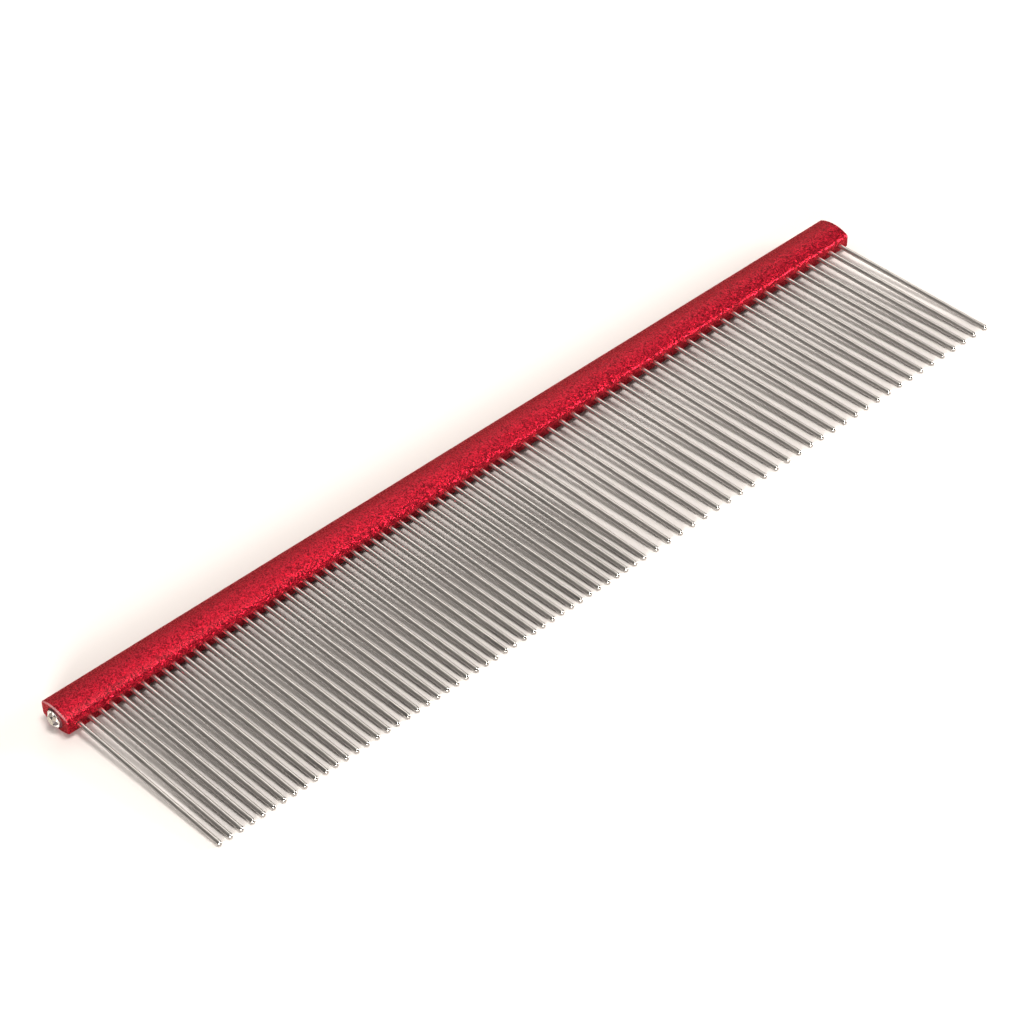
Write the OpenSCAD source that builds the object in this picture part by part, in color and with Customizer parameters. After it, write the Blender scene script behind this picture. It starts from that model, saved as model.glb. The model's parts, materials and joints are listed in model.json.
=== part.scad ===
// Grooming comb: one row of round steel pins pressed into an aluminium bar, set close together at
// one end and wider apart at the other, with a pointed cut crystal glued into each end of the bar.
// X runs along the bar from the fine end to the coarse end, the pins point to -Y and Z is up.
// The comb lies as it does on a table: the bar on its crowned underside, the pins on their tips.
// The origin is on the table, under the middle of the whole comb.

/* [Bar] */
// Depth of the bar, from its front face to its back face
bar_depth = 9.6; // [8.5:0.1:11]
// Height of the bar over its crowned top and underside
bar_height = 6; // [5.8:0.1:7]
// Radius of the crowned top and underside
crown_r = 10; // [9:0.5:14]
// Radius of the four long edges
edge_r = 1; // [0.3:0.1:1.2]
// Bar left beyond the centre of the first fine pin
fine_margin = 2.8; // [2.8:0.1:6]
// Bar left beyond the centre of the last coarse pin
coarse_margin = 3.2; // [2.8:0.1:6]

/* [Pins] */
// Diameter of a pin
pin_d = 1.2; // [0.9:0.1:1.5]
// Length of a pin that stands out of the bar, round tip included
pin_reach = 48.6; // [25:0.1:60]
// Length of a pin pressed into the bar
pin_seat = 6; // [4:0.5:7]
// Chamfer on the pressed end of a pin
pin_chamfer = 0.15; // [0.05:0.05:0.3]
// Included angle of the drilled point at the bottom of a bore
drill_angle = 118; // [90:2:140]

/* [Spacing] */
// Number of pairs of fine pins
fine_pairs = 22; // [4:1:22]
// Number of coarse pins
coarse_count = 30; // [4:1:32]
// Centre distance of the fine pins
fine_pitch = 2.875; // [2.25:0.125:4]
// Centre distance of the coarse pins
coarse_pitch = 4; // [3:0.25:6]

/* [Crystals] */
// Diameter of a crystal at its girdle
crystal_d = 4.3; // [3.5:0.1:4.8]
// Height of the crown, from the girdle to the table
crystal_crown = 0.8; // [0.6:0.1:1.4]
// Depth of the point below the girdle
crystal_point = 1.8; // [1.5:0.1:1.9]
// Width of the table as a share of the girdle
table_share = 0.52; // [0.4:0.02:0.7]
// Height of the girdle's edge
girdle_h = 0.15; // [0.1:0.05:0.3]
// How far the girdle stands off the end of the bar
girdle_lift = 0.3; // [0.3:0.1:0.8]
// Diameter of the socket in the end of the bar
socket_d = 5.1; // [4.9:0.1:5.3]
// Depth of the socket
socket_depth = 1.7; // [1.7:0.1:1.9]
// How far the adhesive lies below the end of the bar
glue_drop = 0.3; // [0.1:0.1:0.5]

/* [Hidden] */
// sides of the cut stones, and segments of the round shapes
stone_sides = 8;
pin_segments = 32;
edge_segments = 48;
socket_segments = 64;
crown_segments = 240;
// how far a cut runs past the face that it opens
past_face = 1;

fine_count = 2 * fine_pairs;
fine_run = (fine_count - 1) * fine_pitch;
bar_length = fine_margin + fine_run + coarse_count * coarse_pitch + coarse_margin;
pin_r = pin_d / 2;
pin_straight = pin_seat + pin_reach - pin_r;

// The bar's section has y = 0 at the front face and z = 0 at the pins' axes. The top crown's centre
// is at (bar_depth / 2, crown_z) and a top long edge's centre is at (edge_r, edge_z).
crown_z = bar_height / 2 - crown_r;
edge_z = crown_z + sqrt(pow(crown_r - edge_r, 2) - pow(bar_depth / 2 - edge_r, 2));
// depth at which the round of a long edge runs into the crown
blend_y = edge_r - (bar_depth / 2 - edge_r) * edge_r / (crown_r - edge_r);

// At rest one plane touches the underside and the round tips. tilt is the slope of the pins.
tip_to_crown = bar_depth / 2 + pin_reach - pin_r;
tilt = asin((crown_r - pin_r) / norm([tip_to_crown, crown_z])) - atan2(-crown_z, tip_to_crown);
rest_z = crown_r - bar_depth / 2 * sin(tilt) + crown_z * cos(tilt);
tip_y = -(pin_reach - pin_r) * cos(tilt) - pin_r;
back_y = (bar_depth - edge_r) * cos(tilt) + edge_z * sin(tilt) + edge_r;
rest_y = -(tip_y + back_y) / 2;

// two-figure number for a node's name
function two(n) = str(n < 10 ? "0" : "", n);
function fine_name(n) = str("fine_pins_", two(n));
function coarse_name(n) = str("coarse_pin_", two(n));

// place of pin i along the bar, counted from 0 at the fine end
function pin_x(i) = fine_margin - bar_length / 2
    + min(i, fine_count - 1) * fine_pitch + max(i - fine_count + 1, 0) * coarse_pitch;

// from the bar's own frame to the comb at rest on the table
module at_rest() {
    translate([0, rest_y, rest_z]) rotate([tilt, 0, 0]) children();
}

// an end of the bar, with +Z outward: side is -1 at the fine end and 1 at the coarse end
module at_end(side) {
    translate([side * bar_length / 2, bar_depth / 2, 0]) rotate([0, side * 90, 0]) children();
}

// section of the bar: two crowns between flat front and back faces, with round long edges
module bar_section() {
    intersection() {
        crown_disc(1);
        crown_disc(-1);
        translate([blend_y, -bar_height]) square([bar_depth - 2 * blend_y, 2 * bar_height]);
    }
    translate([0, -edge_z]) square([bar_depth, 2 * edge_z]);
    for (y = [edge_r, bar_depth - edge_r], z = [-edge_z, edge_z])
        translate([y, z]) circle(r = edge_r, $fn = edge_segments);
}

module crown_disc(side) {
    translate([bar_depth / 2, side * crown_z]) circle(r = crown_r, $fn = crown_segments);
}

// a blind bore for a pin, open at the front face, with a drilled point
module bore() {
    rotate([-90, 0, 0]) {
        translate([0, 0, -past_face]) cylinder(h = pin_seat + past_face, r = pin_r, $fn = pin_segments);
        translate([0, 0, pin_seat])
            cylinder(h = pin_r / tan(drill_angle / 2), r1 = pin_r, r2 = 0, $fn = pin_segments);
    }
}

// the round seat of a crystal, with z = 0 at the end of the bar
module socket() {
    translate([0, 0, -socket_depth])
        cylinder(h = socket_depth + past_face, d = socket_d, $fn = socket_segments);
}

module bar() {
    color("crimson") at_rest() difference() {
        rotate([90, 0, 90]) linear_extrude(bar_length, center = true) bar_section();
        for (i = [0:fine_count + coarse_count - 1]) translate([pin_x(i), 0, 0]) bore();
        for (side = [-1, 1]) at_end(side) socket();
    }
}

// one pin, chamfered where it was pressed in and round at its tip
module pin(i) {
    translate([pin_x(i), pin_seat, 0]) rotate([90, 0, 0]) {
        cylinder(h = pin_chamfer, r1 = pin_r - pin_chamfer, r2 = pin_r, $fn = pin_segments);
        translate([0, 0, pin_chamfer])
            cylinder(h = pin_straight - pin_chamfer, r = pin_r, $fn = pin_segments);
        translate([0, 0, pin_straight]) sphere(r = pin_r, $fn = pin_segments);
    }
}

// two fine pins that stand side by side, each its own solid
module fine_pins(n) {
    color("silver") at_rest() for (i = [2 * n - 2, 2 * n - 1]) pin(i);
}

module coarse_pin(n) {
    color("silver") at_rest() pin(fine_count + n - 1);
}

// a crystal with +Z out of its table and z = 0 at the end of the bar
module cut_stone() {
    translate([0, 0, girdle_lift - crystal_point])
        cylinder(h = crystal_point, d1 = 0, d2 = crystal_d, $fn = stone_sides);
    translate([0, 0, girdle_lift]) cylinder(h = girdle_h, d = crystal_d, $fn = stone_sides);
    translate([0, 0, girdle_lift + girdle_h])
        cylinder(h = crystal_crown, d1 = crystal_d, d2 = crystal_d * table_share, $fn = stone_sides);
}

module crystal(side) {
    color("azure") at_rest() at_end(side) cut_stone();
}

// the adhesive that fills a socket around the crystal's point
module adhesive(side) {
    color("gainsboro") at_rest() at_end(side) difference() {
        translate([0, 0, -socket_depth])
            cylinder(h = socket_depth - glue_drop, d = socket_d, $fn = socket_segments);
        cut_stone();
    }
}

bar();
for (n = [1:fine_pairs]) fine_pins(n);
for (n = [1:coarse_count]) coarse_pin(n);
crystal(-1);  // crystal_fine_end
crystal(1);  // crystal_coarse_end
adhesive(-1);  // adhesive_fine_end
adhesive(1);  // adhesive_coarse_end
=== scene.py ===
"""Looks of the grooming comb: a red glitter-coated bar, polished steel pins and a cut crystal in each end.

Everything is in metres in the shared frame. The bar frame used below has X along the bar, Y into the bar
from its front face and Z up through its crown. Its origin is half-way along the front face, at the height
of the pins' axes.
"""

import json
import math
import random

import bmesh
import bpy
from mathutils import Matrix, Vector


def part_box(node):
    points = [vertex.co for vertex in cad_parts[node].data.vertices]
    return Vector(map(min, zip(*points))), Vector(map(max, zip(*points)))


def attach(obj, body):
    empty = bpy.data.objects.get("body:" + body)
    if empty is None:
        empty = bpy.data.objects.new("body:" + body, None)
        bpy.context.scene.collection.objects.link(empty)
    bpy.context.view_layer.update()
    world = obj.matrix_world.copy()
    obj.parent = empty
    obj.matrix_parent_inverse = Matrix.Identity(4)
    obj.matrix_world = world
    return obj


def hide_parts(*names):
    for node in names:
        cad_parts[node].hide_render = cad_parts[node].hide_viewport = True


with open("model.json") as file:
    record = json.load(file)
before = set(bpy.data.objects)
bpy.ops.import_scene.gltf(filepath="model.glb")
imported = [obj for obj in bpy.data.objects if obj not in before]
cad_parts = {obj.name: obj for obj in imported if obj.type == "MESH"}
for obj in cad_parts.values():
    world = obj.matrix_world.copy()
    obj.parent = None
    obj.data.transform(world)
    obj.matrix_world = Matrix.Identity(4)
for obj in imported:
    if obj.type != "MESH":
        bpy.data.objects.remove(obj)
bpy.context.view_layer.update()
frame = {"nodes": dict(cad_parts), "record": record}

MM = 0.001
FINE_NODES = sorted(n for n in frame["nodes"] if n.startswith("fine_pins"))
COARSE_NODES = sorted(n for n in frame["nodes"] if n.startswith("coarse_pin"))
mounts = {m["name"]: m for m in frame["record"]["mounts"]}

# the bar's place and main sizes, from the frame
BAR_LOW, BAR_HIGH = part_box("bar")
BAR_LENGTH = BAR_HIGH.x - BAR_LOW.x
INTO_BAR = Vector(mounts["bar_back"]["axis"]).normalized()
BAR_CENTRE = Vector(mounts["bar_grip"]["pos_m"])
BAR_DEPTH = 2 * (Vector(mounts["bar_back"]["pos_m"]) - BAR_CENTRE).length
SLOPE = math.atan2(INTO_BAR.z, INTO_BAR.y)
FROM_BAR = Matrix.Translation(BAR_CENTRE - INTO_BAR * BAR_DEPTH / 2) @ Matrix.Rotation(SLOPE, 4, "X")

# the other sizes of the CAD parts
BAR_HEIGHT = 6.0 * MM
CROWN_R = 10.0 * MM
EDGE_R = 1.0 * MM
PIN_R = 0.6 * MM
PIN_REACH = 48.6 * MM
PIN_SEAT = 6.0 * MM
PIN_CHAMFER = 0.15 * MM
DRILL_POINT = 0.6 * PIN_R
SOCKET_R = 2.55 * MM
SOCKET_DEPTH = 1.7 * MM
STONE_R = 2.15 * MM
STONE_LIFT = 0.3 * MM
GIRDLE = 0.15 * MM
CROWN = 0.8 * MM
PAVILION = 1.8 * MM
GLUE_DROP = 0.3 * MM

random.seed(8)


# ---------------------------------------------------------------- mesh helpers

def new_piece(name, bm, materials, nodes):
    """Makes an object of a mesh built in the bar frame, ties it to its body and hides the CAD nodes it
    stands for.
    """
    bmesh.ops.recalc_face_normals(bm, faces=bm.faces)
    mesh = bpy.data.meshes.new(name)
    bm.to_mesh(mesh)
    bm.free()
    mesh.transform(FROM_BAR)
    piece = bpy.data.objects.new(name, mesh)
    bpy.context.scene.collection.objects.link(piece)
    for material in materials:
        mesh.materials.append(material)
    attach(piece, "root")
    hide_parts(*nodes)


def turn(steps):
    """Angles at even steps round a circle."""
    return [2 * math.pi * k / steps for k in range(steps)]


def bridge(bm, ring_a, ring_b, smooth=True):
    """Quads between two closed rings with the same number of vertices."""
    n = len(ring_a)
    for k in range(n):
        face = bm.faces.new((ring_a[k], ring_a[(k + 1) % n], ring_b[(k + 1) % n], ring_b[k]))
        face.smooth = smooth


def fan(bm, ring, centre, smooth=True):
    """Triangles from a closed ring to one point."""
    hub = bm.verts.new(centre)
    n = len(ring)
    for k in range(n):
        face = bm.faces.new((ring[k], ring[(k + 1) % n], hub))
        face.smooth = smooth


# ---------------------------------------------------------------- bar

CELL_SIDE = 6          # mesh segments along each side of the square cell around a bore
CROWN_STEPS = 28
EDGE_STEPS = 6
ROUND_STEPS = 4
END_ROUND = 0.4 * MM   # radius of the rims of the bar's ends
CROWN_Z = BAR_HEIGHT / 2 - CROWN_R
EDGE_Z = CROWN_Z + math.sqrt((CROWN_R - EDGE_R) ** 2 - (BAR_DEPTH / 2 - EDGE_R) ** 2)
CROWN_TURN = math.atan2(BAR_DEPTH / 2 - EDGE_R, EDGE_Z - CROWN_Z)

# broken rims of the holes: each ring's radius as a share of the pin's or the socket's, and its depth
BORE_RINGS = ((1.1, 0.0), (1.05, 0.02 * MM), (1.02, 0.08 * MM), (1.02, PIN_SEAT))
SOCKET_RINGS = ((1.05, 0.0), (1.015, 0.03 * MM), (1.0, 0.12 * MM), (1.0, SOCKET_DEPTH))


def arc(cy, cz, radius, start, end, steps):
    """(y, z, normal y, normal z) along an arc; angles are measured from +Z towards +Y."""
    points = []
    for k in range(steps + 1):
        a = start + (end - start) * k / steps
        points.append((cy + radius * math.sin(a), cz + radius * math.cos(a), math.sin(a), math.cos(a)))
    return points


def section():
    """The bar's outline from the top of the front flat, over the crown, down the back and along the
    underside to the bottom of the front flat. Each entry is (y, z, normal y, normal z)."""
    quarter = math.pi / 2
    d, r = BAR_DEPTH, EDGE_R
    top = arc(r, EDGE_Z, r, -quarter, -CROWN_TURN, EDGE_STEPS)
    top += arc(d / 2, CROWN_Z, CROWN_R, -CROWN_TURN, CROWN_TURN, CROWN_STEPS)[1:]
    top += arc(d - r, EDGE_Z, r, CROWN_TURN, quarter, EDGE_STEPS)[1:]
    back = [(d, EDGE_Z * (1 - 2 * k / CELL_SIDE), 1.0, 0.0) for k in range(1, CELL_SIDE)]
    under = [(y, -z, ny, -nz) for y, z, ny, nz in reversed(top)]
    return top + back + under


def add_bore(bm, x, square):
    """A drilled bore, from its square cell in the front face down to the drill's point. The rings start
    where the cell does, at its bottom left corner."""
    first_corner = math.radians(-135)
    outer = square
    for share, depth in BORE_RINGS:
        r = share * PIN_R
        angles = [first_corner + a for a in turn(len(square))]
        ring = [bm.verts.new((x + r * math.cos(a), depth, r * math.sin(a))) for a in angles]
        bridge(bm, outer, ring, smooth=outer is not square)
        outer = ring
    fan(bm, outer, (x, PIN_SEAT + DRILL_POINT, 0))


def painted_rim_highlight(y, nz):
    """How much painted highlight an end's rim gets: on its upward side, and most close behind the front
    edge.
    """
    from_front = y / BAR_DEPTH
    return max(nz, 0) ** 4 * min(1, 0.2 + 3 * from_front) * (1 - 0.5 * from_front)


def add_end(bm, side, row, column, outline, painted_highlight):
    """A rounded rim with a painted highlight, the end face and the socket. The column is the front flat's
    end.
    """
    end = BAR_LENGTH / 2
    flat = [(0.0, v.co.z, -1.0, 0.0) for v in column[1:-1]]
    rim = outline + flat
    ring = row + column[1:-1]
    for k in range(1, ROUND_STEPS + 1):
        a = math.pi / 2 * k / ROUND_STEPS
        inset = END_ROUND * (1 - math.cos(a))
        x = side * (end - END_ROUND + END_ROUND * math.sin(a))
        loop = [bm.verts.new((x, y - ny * inset, z - nz * inset)) for y, z, ny, nz in rim]
        bridge(bm, ring, loop)
        ring = loop
        if k < ROUND_STEPS:
            # the rim's middle loops carry the painted highlight, strongest half-way round the rounding
            for v, (y, _, _, nz) in zip(ring, rim):
                v[painted_highlight] = math.sin(2 * a) ** 0.5 * painted_rim_highlight(y, nz)

    middle = BAR_DEPTH / 2
    angles = [math.atan2(z, y - middle) for y, z, _, _ in rim]
    for share, depth in SOCKET_RINGS:
        x = side * (end - depth)
        r = share * SOCKET_R
        loop = [bm.verts.new((x, middle + r * math.cos(a), r * math.sin(a))) for a in angles]
        bridge(bm, ring, loop, smooth=depth > 0)
        ring = loop
    fan(bm, ring, (side * (end - SOCKET_DEPTH), middle, 0), smooth=False)


def bar_mesh(pin_xs):
    bm = bmesh.new()
    # a painted highlight on the ends' rims, kept on each vertex
    painted_highlight = bm.verts.layers.float.new("painted_highlight")
    outline = section()
    end = BAR_LENGTH / 2 - END_ROUND
    cuts = [-end] + [(a + b) / 2 for a, b in zip(pin_xs, pin_xs[1:])] + [end]
    stations = [a + (b - a) * k / CELL_SIDE for a, b in zip(cuts, cuts[1:]) for k in range(CELL_SIDE)]
    stations.append(end)

    # long faces round the section, from the top of the front flat to its bottom
    rows = [[bm.verts.new((x, y, z)) for y, z, _, _ in outline] for x in stations]
    for a, b in zip(rows, rows[1:]):
        for k in range(len(outline) - 1):
            bm.faces.new((a[k], a[k + 1], b[k + 1], b[k])).smooth = True

    # front flat: one cell for each pin, with its bore in the middle
    columns = []
    for x, row in zip(cuts, rows[::CELL_SIDE]):
        inner = [bm.verts.new((x, 0, -EDGE_Z + 2 * EDGE_Z * k / CELL_SIDE)) for k in range(1, CELL_SIDE)]
        columns.append([row[-1]] + inner + [row[0]])
    for i, x in enumerate(pin_xs):
        left, right = columns[i], columns[i + 1]
        between = rows[i * CELL_SIDE + 1:(i + 1) * CELL_SIDE]
        square = [left[0]] + [row[-1] for row in between] + right[:-1]
        square += [right[-1]] + [row[0] for row in reversed(between)] + left[:0:-1]
        add_bore(bm, x, square)

    add_end(bm, -1, rows[0], columns[0], outline, painted_highlight)
    add_end(bm, 1, rows[-1], columns[-1], outline, painted_highlight)
    return bm


# ---------------------------------------------------------------- pins

PIN_SIDES = 24
SHANK_STEPS = 6
TIP_STEPS = 6
PIN_LEAN = 0.1 * MM    # how far a pin's tip may stand off its place along the bar
PIN_SHORT = 0.1 * MM   # how much shorter than the others a pin may be
LEAN_CURVE = 1.5       # above 1, a pin leans more and more towards its tip
POLISH_FROM = 0.05 * PIN_R   # how far past the end of a shank the polish starts


def add_pin(bm, x):
    """One pin: a chamfered pressed end, a shank and a round tip, with the small lean of a pressed pin.
    Gives back the length of the shank."""
    lean = random.uniform(-PIN_LEAN, PIN_LEAN)
    reach = PIN_REACH - random.uniform(0, PIN_SHORT)
    shank = reach - PIN_R

    def axis(y):
        return x + lean * (max(-y, 0) / PIN_REACH) ** LEAN_CURVE

    profile = [(PIN_SEAT, PIN_R - PIN_CHAMFER), (PIN_SEAT - PIN_CHAMFER, PIN_R)]
    profile += [(-shank * k / SHANK_STEPS, PIN_R) for k in range(SHANK_STEPS + 1)]
    for k in range(1, TIP_STEPS):
        a = math.pi / 2 * k / TIP_STEPS
        profile.append((-shank - PIN_R * math.sin(a), PIN_R * math.cos(a)))
    rings = []
    for y, r in profile:
        circle = [(axis(y) + r * math.cos(a), y, r * math.sin(a)) for a in turn(PIN_SIDES)]
        rings.append([bm.verts.new(point) for point in circle])
    for a, b in zip(rings, rings[1:]):
        bridge(bm, a, b)
    fan(bm, rings[-1], (axis(-reach), -reach, 0))
    fan(bm, rings[0], (x, PIN_SEAT, 0), smooth=False)
    return shank


def pins_mesh(xs):
    """The pins of a node, with their tips marked as polished. One plane marks them all, just past the last
    pin's shank, so the polish of a longer pin fades in along the end of its own shank."""
    bm = bmesh.new()
    shanks = [add_pin(bm, x) for x in xs]
    polish = bm.verts.layers.float.new("polish")
    for v in bm.verts:
        v[polish] = 1.0 if v.co.y < -shanks[-1] - POLISH_FROM else 0.0
    return bm


# ---------------------------------------------------------------- crystals

TABLE_R = 0.52 * STONE_R
STAR_R = 0.77 * STONE_R
STAR_HEIGHT = 0.42 * CROWN
BELT_R = 0.30 * STONE_R
BELT_DEPTH = 0.69 * PAVILION
GLUE_SIDES = 48


def stone_point(side, radius, angle, height):
    """A point of a stone, with height measured outward from the end of the bar."""
    x = side * (BAR_LENGTH / 2 + height)
    return Vector((x, BAR_DEPTH / 2 + radius * math.cos(angle), radius * math.sin(angle)))


def crystal_mesh(side):
    """A round brilliant cut: table, 8 stars, 8 kites, 16 crown halves, girdle, then on its back 8 mains and
    16 lower halves."""
    bm = bmesh.new()
    low = STONE_LIFT
    high = STONE_LIFT + GIRDLE

    def vertex(radius, k, height):
        """k counts sixteenths of a turn."""
        return bm.verts.new(stone_point(side, radius, k * math.pi / 8, height))

    table = [vertex(TABLE_R, 2 * k, high + CROWN) for k in range(8)]
    star = [vertex(STAR_R, 2 * k + 1, high + STAR_HEIGHT) for k in range(8)]
    upper = [vertex(STONE_R, k, high) for k in range(16)]
    lower = [vertex(STONE_R, k, low) for k in range(16)]
    belt = [vertex(BELT_R, 2 * k + 1, low - BELT_DEPTH) for k in range(8)]
    culet = vertex(0, 0, low - PAVILION)
    front = [table]
    back = []
    for k in range(8):
        n = (k + 1) % 8
        front.append([table[k], table[n], star[k]])
        front.append([table[k], star[k], upper[2 * k], star[k - 1]])
        front.append([star[k], upper[2 * k], upper[2 * k + 1]])
        front.append([star[k], upper[2 * k + 1], upper[2 * n]])
        for i in (2 * k, 2 * k + 1):
            front.append([upper[i], lower[i], lower[(i + 1) % 16], upper[(i + 1) % 16]])
        back.append([belt[k], lower[2 * k], lower[2 * k + 1]])
        back.append([belt[k], lower[2 * k + 1], lower[2 * n]])
        back.append([culet, belt[k - 1], lower[2 * k], belt[k]])

    # each facet keeps a random number that picks its painted reflection; the glass is material 0 and the
    # foil material 1
    shade = bm.faces.layers.float.new("facet")
    for index, facets in enumerate((front, back)):
        for corners in facets:
            facet = bm.faces.new(corners)
            facet[shade] = random.random()
            facet.material_index = index
    return bm


def adhesive_mesh(side):
    """The glue bed in a socket, with its wetted rise against the wall and against the stone. sunk_r is the
    radius of the stone's point at the level of the glue."""
    bm = bmesh.new()
    sunk_r = STONE_R * (PAVILION - STONE_LIFT - GLUE_DROP) / PAVILION
    # the rise against the stone lifts the dark glue into the gap round the stone, where it stands as
    # painted shade
    profile = [
        (SOCKET_R * 0.995, -SOCKET_DEPTH), (SOCKET_R * 0.995, -0.16 * MM),
        (SOCKET_R * 0.97, -0.22 * MM), (SOCKET_R * 0.91, -0.22 * MM), (SOCKET_R * 0.85, -0.1 * MM),
        (STONE_R * 0.96, 0.0), (STONE_R * 0.9, 0.15 * MM), (STONE_R * 0.8, 0.2 * MM),
        (sunk_r * 0.9, -GLUE_DROP), (sunk_r * 0.35, -SOCKET_DEPTH * 0.75),
    ]
    rings = []
    for radius, height in profile:
        rings.append([bm.verts.new(stone_point(side, radius, a, height)) for a in turn(GLUE_SIDES)])
    for a, b in zip(rings, rings[1:] + rings[:1]):
        bridge(bm, a, b)
    return bm


# ---------------------------------------------------------------- materials

FLAKES_PER_METRE = 4200
FLAKE_TILT = 0.55      # spread of the flakes' lean along each axis, on a normal of length 1


def new_material(name):
    material = bpy.data.materials.new(name)
    material.use_nodes = True
    tree = material.node_tree
    shader = tree.nodes["Principled BSDF"]
    return material, tree, shader


def feed(tree, node, inputs):
    """Sets inputs of a node by name or number, and links those that are given a socket."""
    for name, value in inputs.items():
        if isinstance(value, bpy.types.NodeSocket):
            tree.links.new(value, node.inputs[name])
        else:
            node.inputs[name].default_value = value


def add_node(tree, kind, inputs, output, **settings):
    """Adds a node with its settings and inputs, and gives back the named output."""
    node = tree.nodes.new(kind)
    for name, value in settings.items():
        setattr(node, name, value)
    feed(tree, node, inputs)
    return node.outputs[output]


def object_coordinates(tree, scale):
    """Position on the object in units of 1 / scale metres."""
    place = add_node(tree, "ShaderNodeTexCoord", {}, "Object")
    return add_node(tree, "ShaderNodeMapping", {"Vector": place, "Scale": scale}, "Vector")


def noise(tree, where, scale, detail):
    return add_node(tree, "ShaderNodeTexNoise", {"Vector": where, "Scale": scale, "Detail": detail}, "Fac")


def attribute(tree, name):
    return add_node(tree, "ShaderNodeAttribute", {}, "Fac", attribute_name=name)


def spread(tree, value, low, high):
    """A value of 0 to 1 brought to the range from low to high."""
    return add_node(tree, "ShaderNodeMapRange", {"Value": value, "To Min": low, "To Max": high}, "Result")


def bumped(tree, height, strength, distance):
    inputs = {"Height": height, "Strength": strength, "Distance": distance}
    return add_node(tree, "ShaderNodeBump", inputs, "Normal")


def ramp(tree, value, stops):
    """Colours from a value, with stops as (place, colour)."""
    node = tree.nodes.new("ShaderNodeValToRGB")
    elements = node.color_ramp.elements
    while len(elements) < len(stops):
        elements.new(0.5)
    for element, (place, colour) in zip(elements, stops):
        element.position = place
        element.color = (*colour, 1)
    tree.links.new(value, node.inputs["Fac"])
    return node.outputs["Color"]


def vector_math(tree, operation, *inputs):
    return add_node(tree, "ShaderNodeVectorMath", dict(enumerate(inputs)), "Vector", operation=operation)


def flake_normals(tree, surface, flakes):
    """The surface normal, leaned by the flakes' random colours by up to half of FLAKE_TILT on each axis."""
    half = FLAKE_TILT / 2
    base = vector_math(tree, "ADD", surface, (-half, -half, -half))
    leaned = vector_math(tree, "MULTIPLY_ADD", flakes, (FLAKE_TILT, FLAKE_TILT, FLAKE_TILT), base)
    return vector_math(tree, "NORMALIZE", leaned)


def red_coat():
    """Red lacquer over metal flakes with a tilt and a shade of their own, and a painted highlight on the
    end rims.
    """
    material, tree, shader = new_material("red_glitter_coat")
    where = object_coordinates(tree, (FLAKES_PER_METRE, FLAKES_PER_METRE, FLAKES_PER_METRE))
    flakes = add_node(tree, "ShaderNodeTexVoronoi", {"Vector": where, "Scale": 1.0}, "Color")
    grain = noise(tree, where, scale=0.8, detail=3.0)
    shade = ramp(tree, flakes, [(0.3, (0.16, 0.001, 0.008)), (0.7, (0.44, 0.014, 0.038))])

    # painted highlight: the end rims get a pinkish white, broken into patches by the grain
    patches = {"Value": grain, "From Min": 0.25, "From Max": 0.45}
    spots = add_node(tree, "ShaderNodeMapRange", patches, "Result")
    rim_highlight_amount = attribute(tree, "painted_highlight")
    patchy_highlight = add_node(tree, "ShaderNodeMath", {0: rim_highlight_amount, 1: spots}, "Value", operation="MULTIPLY")
    layers = {"Factor": patchy_highlight, "A": shade, "B": (0.86, 0.58, 0.60, 1)}
    colour = add_node(tree, "ShaderNodeMix", layers, "Result", data_type="RGBA")
    feed(tree, shader, {
        "Base Color": colour,
        "Normal": flake_normals(tree, bumped(tree, grain, strength=0.5, distance=0.08 * MM), flakes),
        "Metallic": 0.7,
        "Roughness": 0.3,
        "Specular Tint": (0.8, 0.1, 0.14, 1),
        "Coat Weight": 0.2,
        "Coat Roughness": 0.35,
    })
    return material


def pin_steel():
    """Drawn steel wire with faint lines along the pin and a polished round tip."""
    material, tree, shader = new_material("polished_steel")
    lines = noise(tree, object_coordinates(tree, (9000, 60, 9000)), scale=1.0, detail=2.0)
    finish = {"Factor": attribute(tree, "polish"), "A": spread(tree, lines, 0.27, 0.37), "B": 0.12}
    feed(tree, shader, {
        "Base Color": ramp(tree, lines, [(0.35, (0.41, 0.40, 0.385)), (0.65, (0.53, 0.515, 0.50))]),
        "Roughness": add_node(tree, "ShaderNodeMix", finish, "Result"),
        "Metallic": 1.0,
    })
    return material


def stone_glass():
    """Clear cut glass over foil. Each facet has a painted reflection of its own, from near black to cream
    and white.
    """
    material, tree, shader = new_material("crystal_glass")
    painted_glints = [
        (0.25, (0.03, 0.03, 0.03)), (0.45, (0.15, 0.13, 0.14)),
        (0.7, (0.36, 0.33, 0.27)), (0.95, (0.8, 0.8, 0.78)),
    ]
    feed(tree, shader, {
        "Base Color": ramp(tree, attribute(tree, "facet"), painted_glints),
        "Transmission Weight": 0.25,
        "IOR": 1.6,
        "Roughness": 0.06,
    })
    return material


def stone_foil():
    """The silvery foil on the back of a crystal, with a painted reflection that varies from facet to facet.
    """
    material, tree, shader = new_material("crystal_foil")
    painted_glints = [(0.0, (0.42, 0.40, 0.38)), (1.0, (0.95, 0.92, 0.86))]
    feed(tree, shader, {
        "Base Color": ramp(tree, attribute(tree, "facet"), painted_glints),
        "Metallic": 0.6,
        "Roughness": 0.3,
    })
    return material


def cured_glue():
    """Cured adhesive, painted near-black red as the shade in the socket, cloudy and a little uneven on top.
    """
    material, tree, shader = new_material("cured_glue")
    clouds = noise(tree, object_coordinates(tree, (2500, 2500, 2500)), scale=1.0, detail=3.0)
    feed(tree, shader, {
        # painted shade: the glue's near-black red stands in for the shadow in the socket
        "Base Color": ramp(tree, clouds, [(0.35, (0.05, 0.012, 0.015)), (0.65, (0.11, 0.028, 0.035))]),
        "Roughness": spread(tree, clouds, 0.5, 0.7),
        "Normal": bumped(tree, clouds, strength=0.4, distance=0.05 * MM),
    })
    return material


# ---------------------------------------------------------------- pieces

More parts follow.
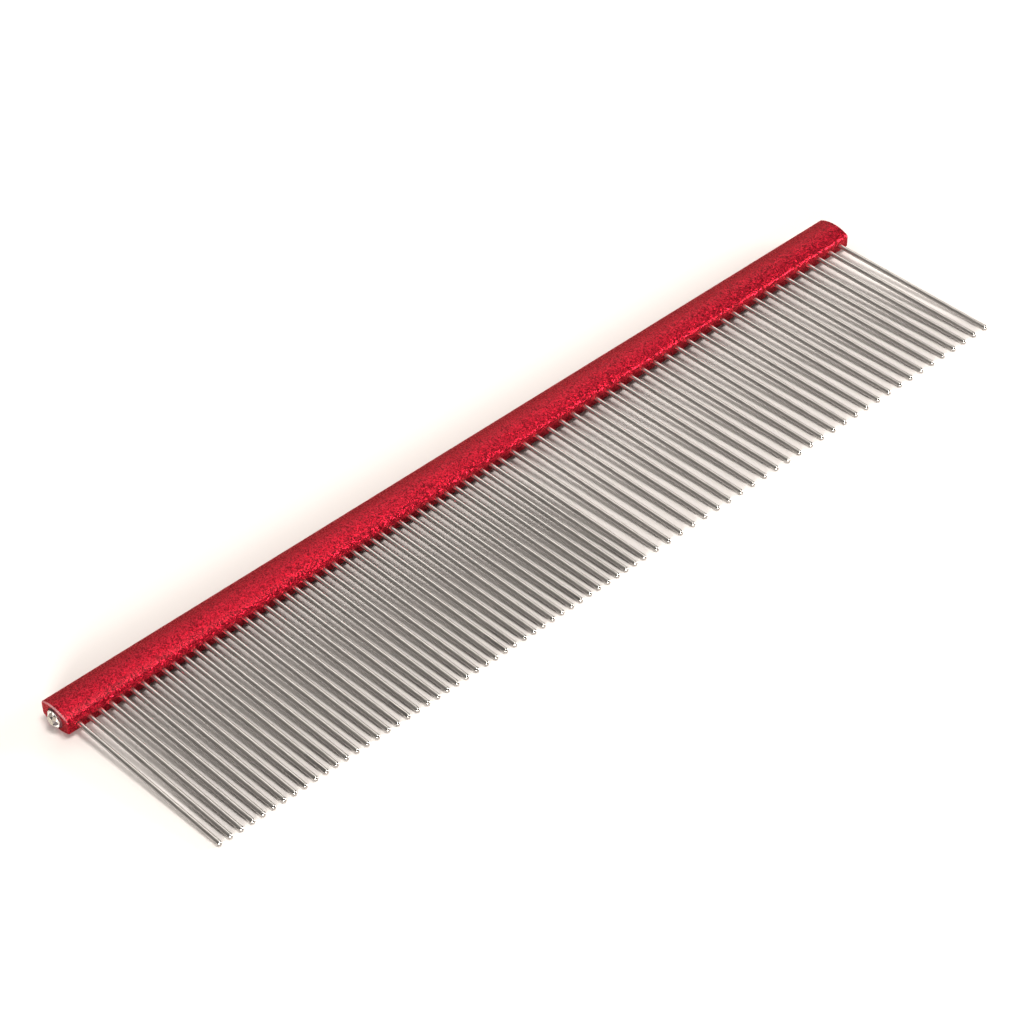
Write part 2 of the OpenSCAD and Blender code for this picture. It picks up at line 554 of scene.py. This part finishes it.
def pin_places(node):
    """Where a node's pins stand along the bar: one in the middle of its box, or one in from each side."""
    low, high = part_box(node)
    if node in COARSE_NODES:
        return [(low.x + high.x) / 2]
    return [low.x + PIN_R, high.x - PIN_R]


steel, coat, glue = pin_steel(), red_coat(), cured_glue()
glass, foil = stone_glass(), stone_foil()
places = {node: pin_places(node) for node in FINE_NODES + COARSE_NODES}
pin_xs = sorted(x for xs in places.values() for x in xs)
new_piece("coated_bar", bar_mesh(pin_xs), [coat], ["bar"])
for node, xs in places.items():
    new_piece("steel_" + node, pins_mesh(xs), [steel], [node])
for side, end in ((-1, "fine_end"), (1, "coarse_end")):
    new_piece("cut_stone_" + end, crystal_mesh(side), [glass, foil], ["crystal_" + end])
    new_piece("glue_bed_" + end, adhesive_mesh(side), [glue], ["adhesive_" + end])


# ---------------------------------------------------------------- floor, light and camera

FLOOR_REACH = 4        # from the middle of the floor to its sides
WARM = (1.0, 0.955, 0.91)
WORLD_STRENGTH = 0.3

EYE = Vector((-0.34148, -0.38061, 0.42339))
LOOK_AT = Vector((-0.00752, 0.00566, 0.0))
ROLL = math.radians(-3.793)
LENS_MM = 100.37
SENSOR_MM = 36


def studio_floor():
    bm = bmesh.new()
    bmesh.ops.create_grid(bm, x_segments=1, y_segments=1, size=FLOOR_REACH)
    mesh = bpy.data.meshes.new("studio_floor")
    bm.to_mesh(mesh)
    bm.free()
    floor = bpy.data.objects.new("studio_floor", mesh)
    bpy.context.scene.collection.objects.link(floor)
    material, tree, shader = new_material("studio_white")
    feed(tree, shader, {"Base Color": (0.72, 0.7, 0.69, 1), "Roughness": 0.9, "Specular IOR Level": 0.0})
    mesh.materials.append(material)


def softbox(name, place, size, watts):
    """A soft rectangular light that faces the origin."""
    light = bpy.data.lights.new(name, "AREA")
    light.shape = "RECTANGLE"
    light.size, light.size_y = size
    light.energy = watts
    light.color = WARM
    lamp = bpy.data.objects.new(name, light)
    bpy.context.scene.collection.objects.link(lamp)
    lamp.location = place
    lamp.rotation_euler = (-Vector(place)).to_track_quat("-Z", "Y").to_euler()


def studio_light():
    """A dim world and five softboxes. The side ones are low, so the pins' shadows stripe the floor."""
    world = bpy.data.worlds.new("studio")
    world.use_nodes = True
    tree = world.node_tree
    feed(tree, tree.nodes["Background"], {"Color": (*WARM, 1), "Strength": WORLD_STRENGTH})
    bpy.context.scene.world = world
    softbox("key_softbox", (0.65, 0.5, 0.9), (0.6, 0.6), 1.7)
    softbox("top_softbox", (0.1, -0.15, 1.28), (0.45, 0.45), 12)
    softbox("right_softbox", (1.62, -0.72, 0.36), (0.9, 0.5), 46)
    softbox("left_softbox", (-1.34, -1.13, 0.27), (0.7, 0.42), 60)
    softbox("back_softbox", (0.4, 1.2, 0.9), (2.2, 0.9), 10)


def studio_camera():
    data = bpy.data.cameras.new("camera")
    data.lens = LENS_MM
    data.sensor_width = SENSOR_MM
    data.clip_start = 0.01
    camera = bpy.data.objects.new("camera", data)
    bpy.context.scene.collection.objects.link(camera)
    aim = (LOOK_AT - EYE).to_track_quat("-Z", "Y").to_matrix().to_4x4()
    camera.matrix_world = Matrix.Translation(EYE) @ aim @ Matrix.Rotation(ROLL, 4, "Z")
    bpy.context.scene.camera = camera


studio_floor()
studio_light()
studio_camera()
bpy.context.scene.view_settings.view_transform = "Standard"
bpy.context.scene.view_settings.gamma = 0.85
